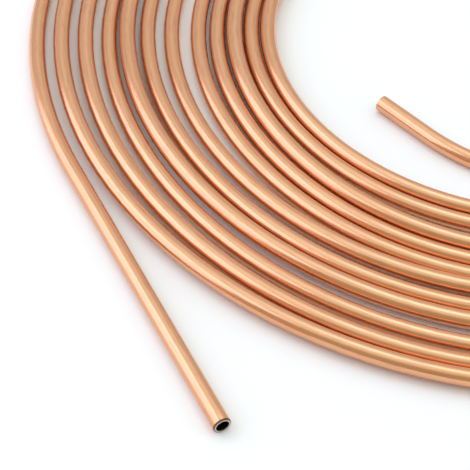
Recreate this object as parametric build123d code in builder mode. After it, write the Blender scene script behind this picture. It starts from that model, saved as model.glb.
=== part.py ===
from build123d import *
from math import cos, radians, sin
import os

# Coil of small soft copper tube, loosely wound flat and lying on its side.
# Seen from above the tube comes in at a long straight tail at the front left, winds clockwise
# and inwards for eleven and a half turns, and stops at a free end inside the eye.
# All sizes are in millimetres.

inch = 25.4

# Tube stock
tube_diameter = 3 / 16 * inch
wall_thickness = 0.028 * inch
rim_rounding = 0.25

# How far the outermost turn passes from the coil's centre, measured to the tube's middle
outer_reach_left = 137.3
outer_reach_right = 130.5

# How much less far it passes at the front than a half circle between its joints would
front_flattening = 0.5

# Clear gaps between neighbouring turns at the left, the front and the right, from the outside in
left_gaps = [2.3, 2.3, 2.2, 0.6, 1.3, 2.4, 3.2, 0.9, 0.3, 0.3, 0.3]
front_gaps = [0.3, 1.6, 2.4, 0.6, 1.0, 0.3, 0.4, 0.3, 3.2, 0.7]
right_gaps = [1.1, 0.3, 0.8, 0.3, 0.3, 0.3, 0.3, 0.3, 1.4, 0.3, 0.3]

# How far each turn springs up off the floor at the left and at the right, from the outside in
left_rises = [0.0, 1.0, 0.9, 0.0, 1.8, 0.4, 0.0, 0.0, 0.2, 1.8, 0.6, 1.1]
right_rises = [1.1, 0.0, 0.0, 0.0, 0.1, 2.9, 0.0, 0.0, 0.0, 0.2, 0.2, 0.0]

# Turn of each shoulder of a near half turn
shoulder_angle = 53.5

# Tail at the outer end: it leaves the outermost turn through a wider bend and runs straight
tail_widening = 3.5
tail_bend_angle = 30.2
tail_length = 94.1

# Inner end: it curls in from the innermost turn through a tighter bend and runs straight
inner_tightening = 14.5
inner_bend_angle = 131.4
inner_length = 17.9

# Sizes that follow from the ones above
tube_radius = tube_diameter / 2
bore_radius = tube_radius - wall_thickness
toward_viewer = Vector(0, -1, 0)


def reaches(outer_reach, gaps):
    """Distances of a tube's middle from the coil's centre, one turn after the other, inwards."""
    found = [outer_reach]
    for gap in gaps:
        found.append(found[-1] - tube_diameter - gap)
    return found


def joint(reach, rise):
    """Point on the joint line where one half turn meets the next."""
    return Vector(reach, 0, tube_radius + rise)


def far_half_turn(start, end):
    """Half circle over the far side, from a left joint to a right one.

    Like the near half turn it leaves and meets the joint line squarely, so that the two share a
    tangent there also where their planes tilt in different ways.
    """
    ThreePointArc(start, (start + end) / 2 - toward_viewer * (end - start).length / 2, end)


def near_half_turn(start, end, reach):
    """Three tangent arcs over the near side, from a right joint to a left one.

    A shoulder, the crown that passes the centre at the given reach, and the other shoulder. The
    shoulder's radius is the one that brings the crown to that reach.
    """
    turn = radians(shoulder_angle)
    half_span = (end - start).length / 2
    across = (end - start).normalized()
    pull = (1 - sin(turn)) / cos(turn)
    shoulder_radius = (reach - pull * half_span) / (1 - pull)
    shoulder = across * shoulder_radius * (1 - cos(turn)) + toward_viewer * shoulder_radius * sin(turn)
    crown_start = start + shoulder
    crown_end = crown_start + across * 2 * (half_span - shoulder_radius * (1 - cos(turn)))
    first = TangentArc(start, crown_start, tangent=toward_viewer)
    crown = TangentArc(crown_start, crown_end, tangent=first % 1)
    TangentArc(crown_end, end, tangent=crown % 1)


left_joints = [joint(-reach, rise) for reach, rise in zip(reaches(outer_reach_left, left_gaps), left_rises)]
right_joints = [joint(reach, rise) for reach, rise in zip(reaches(outer_reach_right, right_gaps), right_rises)]
outer_reach_front = (right_joints[0] - left_joints[1]).length / 2 - front_flattening
front_reaches = reaches(outer_reach_front, front_gaps)

# The tail bends a little wider than the half turn that it carries on from, the inner end tighter
tail_bend_radius = (right_joints[0] - left_joints[0]).length / 2 + tail_widening
inner_bend_radius = (right_joints[-1] - left_joints[-1]).length / 2 - inner_tightening

# Straight tail and its bend, flat on the floor
with BuildLine(Plane(left_joints[0])) as tail_line:
    tail_bend = JernArc((0, 0), toward_viewer, tail_bend_radius, tail_bend_angle)
    tail_run = PolarLine(tail_bend @ 1, tail_length, direction=tail_bend % 1)

# The turns, half a turn at a time, from the outside in
with BuildLine() as turns_line:
    for left, right in zip(left_joints, right_joints):
        far_half_turn(left, right)
    for right, left, reach in zip(right_joints, left_joints[1:], front_reaches):
        near_half_turn(right, left, reach)

# The inner end, level with the innermost turn's last joint
with BuildLine(Plane(right_joints[-1])) as inner_line:
    inner_bend = JernArc((0, 0), toward_viewer, inner_bend_radius, -inner_bend_angle)
    inner_run = PolarLine(inner_bend @ 1, inner_length, direction=inner_bend % 1)

route = Wire(tail_line.edges() + turns_line.edges() + inner_line.edges())

# Copper tube, one drawn piece with its bore open at both ends
with BuildPart() as copper_tube:
    with BuildSketch(Plane(route @ 0, z_dir=route % 0)):
        Circle(tube_radius)
        Circle(bore_radius, mode=Mode.SUBTRACT)
    sweep(path=route)
    for run in (tail_run, inner_run):
        end_face = copper_tube.faces().filter_by(GeomType.PLANE).sort_by_distance(run @ 1)[0]
        fillet(end_face.outer_wire().edges(), rim_rounding)

# The origin is the middle of the space that the coil takes up, on the floor
space = copper_tube.part.bounding_box()
floor_middle = Vector(space.center().X, space.center().Y, space.min.Z)
copper_tube.part.position = -floor_middle
copper_tube.part.label = "copper_tube"

print("tube length", round(route.length / 1000, 3), "m")
for name, run in (("outer end", tail_run), ("inner end", inner_run)):
    print(name, "at", run @ 1 - floor_middle, "pointing", run % 1)
print("coil centre at", -floor_middle)

os.makedirs("parts", exist_ok=True)
export_step(copper_tube.part, "parts/copper_tube.step")
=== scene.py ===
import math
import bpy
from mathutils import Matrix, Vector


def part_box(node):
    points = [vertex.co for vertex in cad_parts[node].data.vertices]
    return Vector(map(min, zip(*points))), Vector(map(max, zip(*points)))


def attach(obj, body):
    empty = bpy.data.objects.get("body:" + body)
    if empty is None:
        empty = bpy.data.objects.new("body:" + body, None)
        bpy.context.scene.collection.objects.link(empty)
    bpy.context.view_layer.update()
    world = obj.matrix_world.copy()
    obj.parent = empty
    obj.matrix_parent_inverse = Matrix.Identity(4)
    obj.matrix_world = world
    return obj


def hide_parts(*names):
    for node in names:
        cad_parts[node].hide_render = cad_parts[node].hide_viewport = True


bl_info = {
    "name": "Copper Tube Coil",
    "version": (1, 0, 0),
    "blender": (4, 5, 0),
    "location": "View3D > Sidebar > Copper Coil",
    "description": "Dresses a loose flat coil of thin soft copper tube and lights it on a white table",
    "category": "Object",
}

import bpy
import numpy as np
from bpy.props import FloatProperty, FloatVectorProperty, IntProperty, PointerProperty

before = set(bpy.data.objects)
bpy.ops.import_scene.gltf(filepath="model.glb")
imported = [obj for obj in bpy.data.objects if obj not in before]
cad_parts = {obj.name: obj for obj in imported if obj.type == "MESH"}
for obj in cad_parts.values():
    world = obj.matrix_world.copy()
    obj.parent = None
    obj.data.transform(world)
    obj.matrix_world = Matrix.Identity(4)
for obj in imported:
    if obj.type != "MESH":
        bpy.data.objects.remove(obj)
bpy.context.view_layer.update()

NODE = "copper_tube"
MM = 0.001
INCH = 25.4 * MM

# Turns of the coil, from the outside in, as the tube's own source has them
LEFT_GAPS_MM = (2.3, 2.3, 2.2, 0.6, 1.3, 2.4, 3.2, 0.9, 0.3, 0.3, 0.3)
FRONT_GAPS_MM = (0.3, 1.6, 2.4, 0.6, 1.0, 0.3, 0.4, 0.3, 3.2, 0.7)
RIGHT_GAPS_MM = (1.1, 0.3, 0.8, 0.3, 0.3, 0.3, 0.3, 0.3, 1.4, 0.3, 0.3)
LEFT_RISES_MM = (0.0, 1.0, 0.9, 0.0, 1.8, 0.4, 0.0, 0.0, 0.2, 1.8, 0.6, 1.1)
RIGHT_RISES_MM = (1.1, 0.0, 0.0, 0.0, 0.1, 2.9, 0.0, 0.0, 0.0, 0.2, 0.2, 0.0)

UP = np.array((0.0, 0.0, 1.0))
RIGHTWARDS = np.array((1.0, 0.0, 0.0))
TOWARD_VIEWER = np.array((0.0, -1.0, 0.0))

# Rows of facets: on each straight run, round the rim and the lip of a cut end, and how far from the
# end the long walls start, in roundings of the rim and of the lip
STRAIGHT_ROWS = 24
RIM_ROWS = 6
LIP_ROWS = 4
SKIN_MARGIN = 1.5
BORE_MARGIN = 2.0

# The tube's finishes, in the order of its materials
SKIN, CUT, BORE = range(3)

# Vector on each point of the tube: its place if the tube were laid out straight
STRAIGHT = "straight_tube"

# Marks in the copper, each with its length along the tube and its width across it
PATCH = (60 * MM, 9 * MM)
DIE_LINE = (40 * MM, 0.45 * MM)
SMEAR = (14 * MM, 2.5 * MM)
SCUFF = (7 * MM, 0.8 * MM)
STAIN = (20 * MM, 1.5 * MM)
SAW_MARK = 0.25 * MM
SCRATCH_DEPTH = 0.02 * MM

# How far patches and die lines warm the skin, and how much of it the scuffs cover at most
PATCH_TONE = 0.7
LINE_TONE = 0.3
SCUFF_COVER = 0.45

# What smears, at the least and at the most, die lines and scuffs add to the skin's roughness
SMEAR_ROUGHNESS = (-0.02, 0.03)
LINE_ROUGHNESS = 0.04
SCUFF_ROUGHNESS = 0.10

# Roughness of the cut face, the darker share of a sawn and of a stained colour, and the share of the
# dark edge's width at which it starts to fade
CUT_ROUGHNESS = (0.30, 0.42)
SAW_SHADE = 0.82
STAIN_SHADE = 0.6
EDGE_FADE = 0.7

# Where the room changes, as parts of a direction of length 1: its walls along Y, and its ceiling along
# Z plus the leaning share of Y, which brings the ceiling lower on the far side
WALL_CHANGE = (-0.6, 0.4)
CEILING_CHANGE = (0.60, 1.02)
CEILING_LEAN = 0.12

CLIP_START = 10 * MM


def length(name, description, default, **more):
    """A length setting in metres."""
    return FloatProperty(name=name, description=description, default=default, unit="LENGTH",
                         precision=5, **more)


def lengths(name, description, values_mm):
    """A row of length settings, given here in millimetres and kept in metres."""
    return FloatVectorProperty(name=name, description=description, size=len(values_mm),
                               default=[value * MM for value in values_mm], unit="LENGTH", precision=5)


def angle(name, description, degrees):
    """An angle setting, given here in degrees and kept in radians."""
    return FloatProperty(name=name, description=description, default=math.radians(degrees),
                         subtype="ANGLE")


def colour(name, description, default):
    """A colour setting, in linear light."""
    return FloatVectorProperty(name=name, description=description, default=default, size=3,
                               subtype="COLOR", min=0.0, max=1.0)


def light(name, description, default):
    """The colour of a light, where 1 is as bright as a white sheet in full light."""
    return FloatVectorProperty(name=name, description=description, default=default, size=3,
                               subtype="COLOR", min=0.0)


def share(name, description, default):
    """A setting between nothing and all."""
    return FloatProperty(name=name, description=description, default=default, min=0.0, max=1.0,
                         subtype="FACTOR")


class TubeStock(bpy.types.PropertyGroup):
    diameter: length("Outside diameter", "Diameter of the tube over its wall", 3 / 16 * INCH)
    wall: length("Wall", "Thickness of the tube's wall", 0.028 * INCH)
    rim_rounding: length("Rim rounding", "Radius of the outer edge of each cut end", 0.25 * MM)
    bore_rounding: length("Bore rounding", "Radius of the inner edge of each cut end", 0.08 * MM)
    facets_round: IntProperty(name="Facets round", description="Facets round the tube", default=40,
                              min=8)
    arc_step: angle("Arc step", "Turn of the tube from one row of facets to the next", 3.0)


class CoilShape(bpy.types.PropertyGroup):
    reach_left: length("Left reach", "Coil's centre to the outermost turn, on the left", 137.3 * MM)
    reach_right: length("Right reach", "Coil's centre to the outermost turn, on the right", 130.5 * MM)
    front_flattening: length("Front flattening", "How much less far it passes in front than a half "
                             "circle between its joints would", 0.5 * MM)
    left_gaps: lengths("Left gaps", "Clear gaps between turns on the left, inwards", LEFT_GAPS_MM)
    front_gaps: lengths("Front gaps", "Clear gaps between turns in front, inwards", FRONT_GAPS_MM)
    right_gaps: lengths("Right gaps", "Clear gaps between turns on the right, inwards", RIGHT_GAPS_MM)
    left_rises: lengths("Left rises", "Height of each turn off the floor, on the left", LEFT_RISES_MM)
    right_rises: lengths("Right rises", "Height of each turn off the floor, on the right",
                         RIGHT_RISES_MM)
    shoulder: angle("Shoulder", "Turn of each shoulder of a near half turn", 53.5)
    tail_widening: length("Tail widening", "How much wider the tail bends than its turn", 3.5 * MM)
    tail_bend: angle("Tail bend", "Turn of the tail before it runs straight", 30.2)
    tail_length: length("Tail length", "Straight run of the tail", 94.1 * MM)
    inner_tightening: length("Inner tightening", "How much tighter the inner end bends than its turn",
                             14.5 * MM)
    inner_bend: angle("Inner bend", "Turn of the inner end before it runs straight", 131.4)
    inner_length: length("Inner length", "Straight run of the inner end", 17.9 * MM)


class CopperFinish(bpy.types.PropertyGroup):
    skin: colour("Skin", "Bright drawn copper", (0.84, 0.445, 0.255))
    skin_warm: colour("Warm skin", "Copper where it has been handled and heated", (0.80, 0.395, 0.212))
    scuffed: colour("Scuffs", "Copper where the turns have rubbed together", (0.52, 0.27, 0.14))
    roughness: share("Roughness", "Spread of the reflections in the skin", 0.18)
    metallic: share("Metallic", "Bare metal in the skin, the rest being its thin dull film", 0.94)
    cut: colour("Cut face", "Fresh saw cut across the wall", (0.62, 0.56, 0.50))
    # Edge: a dark band on the skin, fading out at the edge width behind the outer cut
    edge: colour("Edge", "Copper darkened by the saw, just behind the outer cut", (0.16, 0.085, 0.045))
    edge_width: length("Edge width", "How far from the outer cut the darkened edge reaches", 0.55 * MM)
    # Bore: near black, a painted shade for the inside of the tube
    bore: colour("Bore", "Dull wall inside the tube", (0.014, 0.008, 0.006))


class StudioSettings(bpy.types.PropertyGroup):
    focal_length: FloatProperty(name="Focal length", description="Lens of the camera in millimetres",
                                default=126.2)
    camera_place: FloatVectorProperty(name="Camera place", description="Where the camera stands",
                                      size=3, default=(-0.0693, -0.3782, 0.3235),
                                      subtype="TRANSLATION", unit="LENGTH")
    camera_pitch: angle("Camera pitch", "How far the camera looks down", 47.13)
    camera_roll: angle("Camera roll", "How far the camera leans to its left", 5.43)
    floor_size: length("Floor size", "Side of the square floor", 12.0)
    floor: colour("Floor", "White table", (0.98, 0.98, 0.98))
    near_room: light("Near room", "Room on the viewer's side of the table", (0.52, 0.46, 0.33))
    far_room: light("Far room", "Room beyond the table", (0.69, 0.70, 0.69))
    ceiling: light("Ceiling", "Ceiling over the table", (1.16, 1.32, 1.30))
    lamp_distance: length("Lamp distance", "How far each softbox stands from the coil", 1.6)
    left_box: light("Left softbox", "Light that the left softbox adds", (1.16, 1.15, 1.60))
    left_bearing: angle("Left bearing", "Where the left softbox stands, round from the right", 183.0)
    left_height: angle("Left height", "How high the left softbox stands over the floor", 27.0)
    left_width: angle("Left width", "Width of the left softbox, as the coil sees it", 58.0)
    left_depth: angle("Left depth", "Height of the left softbox, as the coil sees it", 62.0)
    top_box: light("Top softbox", "Light that the top softbox adds", (1.00, 0.98, 1.20))
    top_bearing: angle("Top bearing", "Which way the top softbox stands off the zenith", 68.0)
    top_height: angle("Top height", "How high the top softbox stands over the floor", 78.0)
    top_width: angle("Top width", "Width of the top softbox, as the coil sees it", 22.0)
    right_box: light("Right softbox", "Light that the right softbox adds", (0.44, 0.44, 0.48))
    right_bearing: angle("Right bearing", "Where the right softbox stands, round from the right", 12.0)
    right_height: angle("Right height", "How high the right softbox stands over the floor", 25.0)
    right_width: angle("Right width", "Width of the right softbox, as the coil sees it", 44.0)


class Signal:
    """A shader socket that takes part in plain arithmetic."""

    def __init__(self, tree, socket):
        self.tree = tree
        self.socket = socket

    def _math(self, operation, first, second):
        return self.tree.node("ShaderNodeMath", {"operation": operation}, {0: first, 1: second})

    def __add__(self, other):
        return self._math("ADD", self, other)

    def __radd__(self, other):
        return self._math("ADD", other, self)

    def __sub__(self, other):
        return self._math("SUBTRACT", self, other)

    def __rsub__(self, other):
        return self._math("SUBTRACT", other, self)

    def __mul__(self, other):
        return self._math("MULTIPLY", self, other)

    def __rmul__(self, other):
        return self._math("MULTIPLY", other, self)


class ShaderTree:
    """The node tree of one material or world, built by calls to node."""

    def __init__(self, owner):
        self.owner = owner
        self.owner.use_nodes = True
        self.nodes = self.owner.node_tree.nodes
        self.links = self.owner.node_tree.links
        self.nodes.clear()

    def node(self, kind, settings, inputs, output=0):
        """Adds a node, sets it, feeds its sockets with values or signals, and gives one output."""
        made = self.nodes.new(kind)
        for key, value in settings.items():
            setattr(made, key, value)
        for key, value in inputs.items():
            if isinstance(value, Signal):
                self.links.new(value.socket, made.inputs[key])
            else:
                made.inputs[key].default_value = value
        return Signal(self, made.outputs[output]) if made.outputs else None

    def ramp(self, signal, low, high, to_low=0.0, to_high=1.0):
        """Maps low..high to to_low..to_high in a straight line and holds it at both ends."""
        return self.node("ShaderNodeMapRange", {}, {
            "Value": signal, "From Min": low, "From Max": high, "To Min": to_low, "To Max": to_high})

    def blend(self, amount, first, second):
        """Mixes two colours."""
        return self.node("ShaderNodeMix", {"data_type": "RGBA"}, {
            "Factor": amount, "A": first, "B": second}, "Result")

    def finish(self, settings):
        """Ends the tree in a Principled shader with the given socket values and gives the material."""
        shader = self.node("ShaderNodeBsdfPrincipled", {}, settings)
        self.node("ShaderNodeOutputMaterial", {}, {"Surface": shader})
        return self.owner


def rgba(values, shade=1.0):
    """A colour with full cover, darkened to a share of itself."""
    return (shade * values[0], shade * values[1], shade * values[2], 1.0)


def straight_place(tree):
    """A point's place on the tube laid out straight, where X is its distance from the outer end."""
    return tree.node("ShaderNodeAttribute", {"attribute_name": STRAIGHT}, {}, "Vector")


def straight_tube_noise(tree, mark, detail, roughness=0.5):
    """Noise on the tube laid out straight, with marks of the given length and width."""
    along, across = mark
    scaled = tree.node("ShaderNodeVectorMath", {"operation": "MULTIPLY"}, {
        0: straight_place(tree), 1: (1 / along, 1 / across, 1 / across)})
    return tree.node("ShaderNodeTexNoise", {}, {
        "Vector": scaled, "Scale": 1.0, "Detail": detail, "Roughness": roughness}, 0)


def copper_skin(finish):
    """Bright drawn copper: a satin metal with die lines, warmer patches, scuffs and one dark edge.

    The first two numbers of each ramp are the part of the noise's range that it spreads out.
    """
    tree = ShaderTree(bpy.data.materials.new("drawn_copper"))
    patches = straight_tube_noise(tree, PATCH, 2.0)
    die_lines = straight_tube_noise(tree, DIE_LINE, 3.0)
    smears = straight_tube_noise(tree, SMEAR, 3.0, 0.6)
    scuffs = straight_tube_noise(tree, SCUFF, 4.0, 0.65)
    rubbed = tree.ramp(scuffs, 0.52, 0.72, 0.0, SCUFF_COVER)
    tone = (tree.ramp(patches, 0.35, 0.70, 0.0, PATCH_TONE)
            + tree.ramp(die_lines, 0.35, 0.65, 0.0, LINE_TONE))
    base = tree.blend(tone, rgba(finish.skin), rgba(finish.skin_warm))
    base = tree.blend(rubbed, base, rgba(finish.scuffed))

    # Darkens the skin to the edge colour near the outer cut, fading out at the edge width
    from_outer_end = tree.node("ShaderNodeSeparateXYZ", {}, {"Vector": straight_place(tree)}, "X")
    bright = tree.ramp(from_outer_end, EDGE_FADE * finish.edge_width, finish.edge_width)
    base = tree.blend(bright, rgba(finish.edge), base)

    least, most = (finish.roughness + change for change in SMEAR_ROUGHNESS)
    roughness = tree.ramp(smears, 0.30, 0.75, least, most)
    roughness = roughness + LINE_ROUGHNESS * die_lines + SCUFF_ROUGHNESS * rubbed
    bump = tree.node("ShaderNodeBump", {}, {
        "Strength": 0.6, "Distance": SCRATCH_DEPTH, "Height": die_lines})
    return tree.finish({"Base Color": base, "Metallic": finish.metallic, "Roughness": roughness,
                        "Normal": bump})


def cut_face(finish):
    """Fresh cut across the wall: pale metal with fine saw marks."""
    tree = ShaderTree(bpy.data.materials.new("cut_copper"))
    place = tree.node("ShaderNodeTexCoord", {}, {}, "Object")
    saw = tree.node("ShaderNodeTexNoise", {}, {
        "Vector": place, "Scale": 1 / SAW_MARK, "Detail": 2.0}, 0)
    roughness = tree.ramp(saw, 0.3, 0.7, *CUT_ROUGHNESS)
    base = tree.blend(tree.ramp(saw, 0.35, 0.75), rgba(finish.cut), rgba(finish.cut, SAW_SHADE))
    bump = tree.node("ShaderNodeBump", {}, {
        "Strength": 0.25, "Distance": SCRATCH_DEPTH, "Height": saw})
    return tree.finish({"Base Color": base, "Metallic": 1.0, "Roughness": roughness, "Normal": bump})


def painted_shade_bore_wall(finish):
    """Wall of the bore, painted near black as shade for the deep inside of the tube, with random
    darker stains.
    """
    tree = ShaderTree(bpy.data.materials.new("copper_bore_painted_shade"))
    stain = tree.ramp(straight_tube_noise(tree, STAIN, 3.0), 0.3, 0.7)
    # The bore's near-black colour is painted shade; the noise darkens it further in random stains
    base = tree.blend(stain, rgba(finish.bore), rgba(finish.bore, STAIN_SHADE))
    return tree.finish({"Base Color": base, "Metallic": 0.6, "Roughness": 0.55})


def white_floor(studio):
    """Plain white table."""
    tree = ShaderTree(bpy.data.materials.new("white_floor"))
    return tree.finish({"Base Color": rgba(studio.floor), "Roughness": 0.6, "Specular IOR Level": 0.0})


def pale_room(studio):
    """The room round the table: walls that change from near to far, under a bright ceiling."""
    tree = ShaderTree(bpy.data.worlds.new("pale_room"))
    direction = tree.node("ShaderNodeTexCoord", {}, {}, "Generated")
    away = tree.node("ShaderNodeSeparateXYZ", {}, {"Vector": direction}, "Y")
    upward = tree.node("ShaderNodeSeparateXYZ", {}, {"Vector": direction}, "Z")
    walls = tree.blend(tree.ramp(away, *WALL_CHANGE), rgba(studio.near_room), rgba(studio.far_room))
    overhead = tree.ramp(upward + CEILING_LEAN * away, *CEILING_CHANGE)
    room = tree.blend(overhead, walls, rgba(studio.ceiling))
    shader = tree.node("ShaderNodeBackground", {}, {"Color": room})
    tree.node("ShaderNodeOutputWorld", {}, {"Surface": shader})
    return tree.owner


def reaches(outer_reach, gaps, diameter):
    """Distances of the tube's middle from the coil's centre, one turn after the other, inwards."""
    steps = diameter + np.array(gaps)
    return outer_reach - np.concatenate(([0.0], np.cumsum(steps)))


def bends(start, along, inward, arcs, step):
    """Tangent arcs of one plane, end to end from start, each given as (radius, turn).

    Within an arc the way gone is radius times sin a along the tangent plus 1 - cos a inwards, for a
    from 0 to the turn. Gives the points and the unit tangents as rows.
    """
    points = [start[None, :]]
    tangents = [along[None, :]]
    for radius, turn in arcs:
        a = np.linspace(0.0, turn, max(2, math.ceil(turn / step)) + 1)[1:, None]
        points.append(points[-1][-1] + radius * (np.sin(a) * along + (1 - np.cos(a)) * inward))
        tangents.append(np.cos(a) * along + np.sin(a) * inward)
        along, inward = (math.cos(turn) * along + math.sin(turn) * inward,
                         math.cos(turn) * inward - math.sin(turn) * along)
    return np.vstack(points), np.vstack(tangents)


def free_end(joint, inward, radius, turn, distance, step):
    """An end of the tube, from the joint line outwards: a bend, then a straight run."""
    points, tangents = bends(joint, TOWARD_VIEWER, inward, [(radius, turn)], step)
    away = np.linspace(0.0, distance, STRAIGHT_ROWS + 1)[1:, None]
    return (np.vstack((points, points[-1] + away * tangents[-1])),
            np.vstack((tangents, np.repeat(tangents[-1:], len(away), axis=0))))


def near_arcs(half_span, reach, shoulder):
    """The shoulder, the crown and the other shoulder of a near half turn, as (radius, turn).

    The shoulder's radius is the one that brings the crown to the given reach from the centre.
    """
    pull = (1 - math.sin(shoulder)) / math.cos(shoulder)
    shoulder_radius = (reach - pull * half_span) / (1 - pull)
    crown_radius = shoulder_radius + (half_span - shoulder_radius) / math.cos(shoulder)
    return [(shoulder_radius, shoulder), (crown_radius, math.pi - 2 * shoulder),
            (shoulder_radius, shoulder)]


def coil_path(stock, coil):
    """Middle line of the tube from the outer end to the inner end, as points and unit tangents.

    Half turns stand end to end on the joint line, the coil's X axis, where every tangent is square
    to that line and level, so the halves join smoothly although their planes tilt differently.
    """
    box_low, box_high = (np.array(corner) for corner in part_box(NODE))
    radius = stock.diameter / 2
    left = reaches(coil.reach_left, coil.left_gaps, stock.diameter)
    right = reaches(coil.reach_right, coil.right_gaps, stock.diameter)
    left_rises = np.array(coil.left_rises)
    right_rises = np.array(coil.right_rises)
    first_turn = math.hypot(left[0] + right[0], left_rises[0] - right_rises[0]) / 2
    first_near_turn = math.hypot(left[1] + right[0], left_rises[1] - right_rises[0]) / 2
    front = reaches(first_near_turn - coil.front_flattening, coil.front_gaps, stock.diameter)
    centre = np.array((box_low[0] + radius + left[0], box_high[1] - radius - first_turn, 0.0))
    level = centre + radius * UP
    left_joints = level + np.stack((-left, 0 * left, left_rises), axis=1)
    right_joints = level + np.stack((right, 0 * right, right_rises), axis=1)

    tail = free_end(left_joints[0], RIGHTWARDS, first_turn + coil.tail_widening, coil.tail_bend,
                    coil.tail_length, stock.arc_step)
    stretches = [(tail[0][::-1], -tail[1][::-1])]
    for number, (start, end) in enumerate(zip(left_joints, right_joints)):
        span = np.linalg.norm(end - start)
        stretches.append(bends(start, -TOWARD_VIEWER, (end - start) / span, [(span / 2, math.pi)],
                               stock.arc_step))
        if number < len(front):
            start, end = end, left_joints[number + 1]
            span = np.linalg.norm(end - start)
            stretches.append(bends(start, TOWARD_VIEWER, (end - start) / span,
                                   near_arcs(span / 2, front[number], coil.shoulder), stock.arc_step))
    last_turn = np.linalg.norm(right_joints[-1] - left_joints[-1]) / 2
    stretches.append(free_end(right_joints[-1], -RIGHTWARDS, last_turn - coil.inner_tightening,
                              coil.inner_bend, coil.inner_length, stock.arc_step))
    points = np.vstack([stretches[0][0]] + [stretch[0][1:] for stretch in stretches[1:]])
    tangents = np.vstack([stretches[0][1]] + [stretch[1][1:] for stretch in stretches[1:]])
    return points, tangents


def rows_clear_of_ends(distances, margin):
    """The path's own rows that lie further than a margin from both of its ends."""
    return distances[(distances > margin) & (distances < distances[-1] - margin)]


def wall_profile(stock, distances):
    """The tube's wall seen edge on, as one closed loop of (distance along, radius, finish) rows.

    Out along the skin, round the rim at the inner end, over the cut face, back along the bore, and
    over the cut face and the rim at the outer end. The rim and the lip are quarter circles: with a
    from 0 to a right angle, the rim's depth is its rounding times 1 - sin a and its radius falls by
    the rounding times 1 - cos a, and the lip's are the other way round. A row's finish is that of the
    faces from it to the next row, so the last row of a stretch takes the finish of what follows.
    """
    outer = stock.diameter / 2
    inner = outer - stock.wall
    total = distances[-1]
    rim = stock.rim_rounding
    lip = stock.bore_rounding
    skin_rows = rows_clear_of_ends(distances, SKIN_MARGIN * rim)
    bore_rows = rows_clear_of_ends(distances, BORE_MARGIN * lip)[::-2]

    a = np.linspace(0.0, math.pi / 2, RIM_ROWS)
    rim_depth = rim * (1 - np.sin(a))
    rim_radius = outer - rim * (1 - np.cos(a))
    a = np.linspace(0.0, math.pi / 2, LIP_ROWS)
    lip_depth = lip * (1 - np.cos(a))
    lip_radius = inner + lip * (1 - np.sin(a))

    stretches = [
        (skin_rows, np.full(len(skin_rows), outer), SKIN, SKIN),
        (total - rim_depth, rim_radius, SKIN, CUT),
        (total - lip_depth, lip_radius, CUT, BORE),
        (bore_rows, np.full(len(bore_rows), inner), BORE, BORE),
        (lip_depth[::-1], lip_radius[::-1], BORE, CUT),
        (rim_depth[::-1], rim_radius[::-1], SKIN, SKIN),
    ]
    along = np.concatenate([rows for rows, _, _, _ in stretches])
    radius = np.concatenate([radii for _, radii, _, _ in stretches])
    finish = np.concatenate([np.append(np.full(len(rows) - 1, own), following)
                             for rows, _, own, following in stretches])
    return along, radius, finish


def carried_along(points, tangents, distances, along):
    """Places on the path, and the two directions square to it, at given distances along it.

    The side direction is level, the tangent crossed with up, and the upper one is the side direction
    crossed with the tangent, so the pair never twists.
    """
    place = np.stack([np.interp(along, distances, points[:, axis]) for axis in range(3)], axis=1)
    ahead = np.stack([np.interp(along, distances, tangents[:, axis]) for axis in range(3)], axis=1)
    ahead /= np.linalg.norm(ahead, axis=1, keepdims=True)
    side = np.cross(ahead, UP)
    side /= np.linalg.norm(side, axis=1, keepdims=True)
    return place, side, np.cross(side, ahead)


def tube_wall(stock, coil):
    """Points of the wound wall, the same points on the straight tube, and the finish of each row.

    A point is its row's place on the path plus the row's radius times cos a sideways plus sin a
    upwards, with a once round. On the straight tube X is the distance along, and Y and Z are the
    radius times cos a and sin a.
    """
    points, tangents = coil_path(stock, coil)
    steps = np.linalg.norm(np.diff(points, axis=0), axis=1)
    distances = np.concatenate(([0.0], np.cumsum(steps)))
    along, radius, finish_of_row = wall_profile(stock, distances)
    place, side, above = carried_along(points, tangents, distances, along)

    a = np.arange(stock.facets_round) * 2 * math.pi / stock.facets_round
    ring = np.stack((np.cos(a), np.sin(a)), axis=1)
    outwards = ring[None, :, 0, None] * side[:, None, :] + ring[None, :, 1, None] * above[:, None, :]
    wound = place[:, None, :] + radius[:, None, None] * outwards
    straight = np.empty(wound.shape)
    straight[:, :, 0] = along[:, None]
    straight[:, :, 1:] = radius[:, None, None] * ring[None, :, :]
    return wound, straight, finish_of_row


def closed_grid_faces(rows, columns):
    """Quads of a grid whose last row joins the first and whose last column joins the first.

    They point outwards where the rows go ahead and the columns go anticlockwise seen from behind.
    """
    row, column = np.meshgrid(np.arange(rows), np.arange(columns), indexing="ij")
    next_row = (row + 1) % rows
    next_column = (column + 1) % columns
    quads = np.stack((row * columns + column, next_row * columns + column,
                      next_row * columns + next_column, row * columns + next_column), axis=-1)
    return quads.reshape(-1, 4)


def mesh_from_quads(name, vertices, quads):
    """A mesh filled straight from arrays of vertices and quads."""
    mesh = bpy.data.meshes.new(name)
    mesh.vertices.add(len(vertices))
    mesh.vertices.foreach_set("co", vertices.ravel())
    mesh.loops.add(quads.size)
    mesh.loops.foreach_set("vertex_index", quads.ravel())
    mesh.polygons.add(len(quads))
    mesh.polygons.foreach_set("loop_start", np.arange(0, quads.size, 4))
    mesh.update(calc_edges=True)
    return mesh


def shade_smooth(mesh):
    """Smooth shading on every face."""
    mesh.polygons.foreach_set("use_smooth", np.ones(len(mesh.polygons), dtype=bool))


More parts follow.
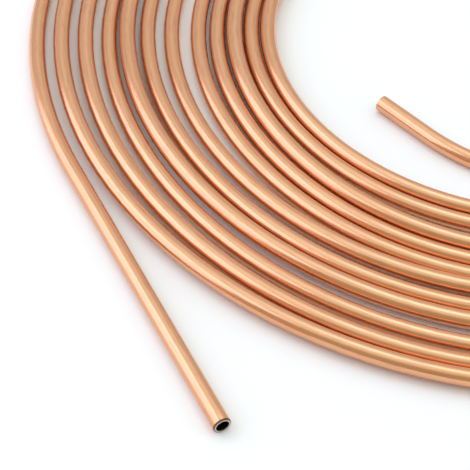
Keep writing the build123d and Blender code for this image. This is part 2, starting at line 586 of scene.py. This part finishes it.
def softbox(context, name, distance, light_of_face, direction, spread):
    """A square-on lamp that the coil sees in a direction, over the given angles each way.

    A flat lamp of area A whose face has the brightness L gives pi times L times A of light.
    """
    bearing, height = direction
    lamp = bpy.data.lights.new(name, "AREA")
    lamp.shape = "RECTANGLE"
    lamp.size = 2 * distance * math.tan(spread[0] / 2)
    lamp.size_y = 2 * distance * math.tan(spread[1] / 2)
    lamp.color = light_of_face
    lamp.energy = math.pi * lamp.size * lamp.size_y
    holder = bpy.data.objects.new(name, lamp)
    holder.location = (distance * math.cos(height) * math.cos(bearing),
                       distance * math.cos(height) * math.sin(bearing), distance * math.sin(height))
    holder.rotation_euler = (math.pi / 2 - height, 0.0, bearing + math.pi / 2)
    context.scene.collection.objects.link(holder)


def white_table(context, studio):
    """The square floor, level at height 0 and centred under the coil."""
    corners = studio.floor_size / 2 * np.array(
        ((-1.0, -1.0, 0.0), (1.0, -1.0, 0.0), (1.0, 1.0, 0.0), (-1.0, 1.0, 0.0)))
    mesh = mesh_from_quads("floor", corners, np.array(((0, 1, 2, 3),)))
    mesh.materials.append(white_floor(studio))
    floor = bpy.data.objects.new("floor", mesh)
    context.scene.collection.objects.link(floor)


def table_camera(context, studio):
    """The scene's camera, rolled about its own line of sight and then tipped to its pitch."""
    camera = bpy.data.cameras.new("camera")
    camera.lens = studio.focal_length
    camera.clip_start = CLIP_START
    holder = bpy.data.objects.new("camera", camera)
    holder.location = studio.camera_place
    holder.rotation_mode = "ZYX"
    holder.rotation_euler = (math.pi / 2 - studio.camera_pitch, 0.0, studio.camera_roll)
    context.scene.collection.objects.link(holder)
    context.scene.camera = holder


class COIL_OT_tube(bpy.types.Operator):
    """Makes the hollow tube along the coil's path and gives it its finishes"""

    bl_idname = "coil.tube"
    bl_label = "Copper tube"

    def execute(self, context):
        finish = context.scene.coil_finish
        wound, straight, finish_of_row = tube_wall(context.scene.coil_stock, context.scene.coil_shape)
        rows, columns = wound.shape[:2]
        mesh = mesh_from_quads("wound_copper_tube", wound.reshape(-1, 3),
                               closed_grid_faces(rows, columns))
        layout = mesh.attributes.new(STRAIGHT, "FLOAT_VECTOR", "POINT")
        layout.data.foreach_set("vector", straight.ravel())
        for material in (copper_skin(finish), cut_face(finish), painted_shade_bore_wall(finish)):
            mesh.materials.append(material)
        mesh.polygons.foreach_set("material_index", np.repeat(finish_of_row, columns))
        shade_smooth(mesh)
        mesh.validate()

        tube = bpy.data.objects.new("wound_copper_tube", mesh)
        context.scene.collection.objects.link(tube)
        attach(tube, "root")
        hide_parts(NODE)
        return {"FINISHED"}


class COIL_OT_studio(bpy.types.Operator):
    """Makes the white floor, the soft light and the camera"""

    bl_idname = "coil.studio"
    bl_label = "Studio"

    def execute(self, context):
        studio = context.scene.coil_studio
        white_table(context, studio)
        context.scene.world = pale_room(studio)
        softbox(context, "left_softbox", studio.lamp_distance, studio.left_box,
                (studio.left_bearing, studio.left_height), (studio.left_width, studio.left_depth))
        softbox(context, "top_softbox", studio.lamp_distance, studio.top_box,
                (studio.top_bearing, studio.top_height), (studio.top_width, studio.top_width))
        softbox(context, "right_softbox", studio.lamp_distance, studio.right_box,
                (studio.right_bearing, studio.right_height), (studio.right_width, studio.right_width))
        table_camera(context, studio)
        context.scene.view_settings.view_transform = "Standard"
        return {"FINISHED"}


class COIL_PT_panel(bpy.types.Panel):
    """Lists the pieces and their settings in the sidebar"""

    bl_idname = "COIL_PT_panel"
    bl_label = "Copper Coil"
    bl_space_type = "VIEW_3D"
    bl_region_type = "UI"
    bl_category = "Copper Coil"

    def draw(self, context):
        for group, operator in ((context.scene.coil_stock, None), (context.scene.coil_shape, None),
                                (context.scene.coil_finish, COIL_OT_tube.bl_idname),
                                (context.scene.coil_studio, COIL_OT_studio.bl_idname)):
            box = self.layout.box()
            for name in group.__annotations__:
                box.prop(group, name)
            if operator:
                box.operator(operator)


CLASSES = (TubeStock, CoilShape, CopperFinish, StudioSettings, COIL_OT_tube, COIL_OT_studio,
           COIL_PT_panel)
SETTINGS = {"coil_stock": TubeStock, "coil_shape": CoilShape, "coil_finish": CopperFinish,
            "coil_studio": StudioSettings}


def register():
    """Adds the operators and the panel, and hangs the settings on the scene."""
    for entry in CLASSES:
        bpy.utils.register_class(entry)
    for name, group in SETTINGS.items():
        setattr(bpy.types.Scene, name, PointerProperty(type=group))


def unregister():
    """Takes the settings, the panel and the operators away again."""
    for name in SETTINGS:
        delattr(bpy.types.Scene, name)
    for entry in reversed(CLASSES):
        bpy.utils.unregister_class(entry)


def main():
    """Makes every piece in order."""
    register()
    bpy.ops.coil.tube()
    bpy.ops.coil.studio()


if __name__ == "__main__":
    main()
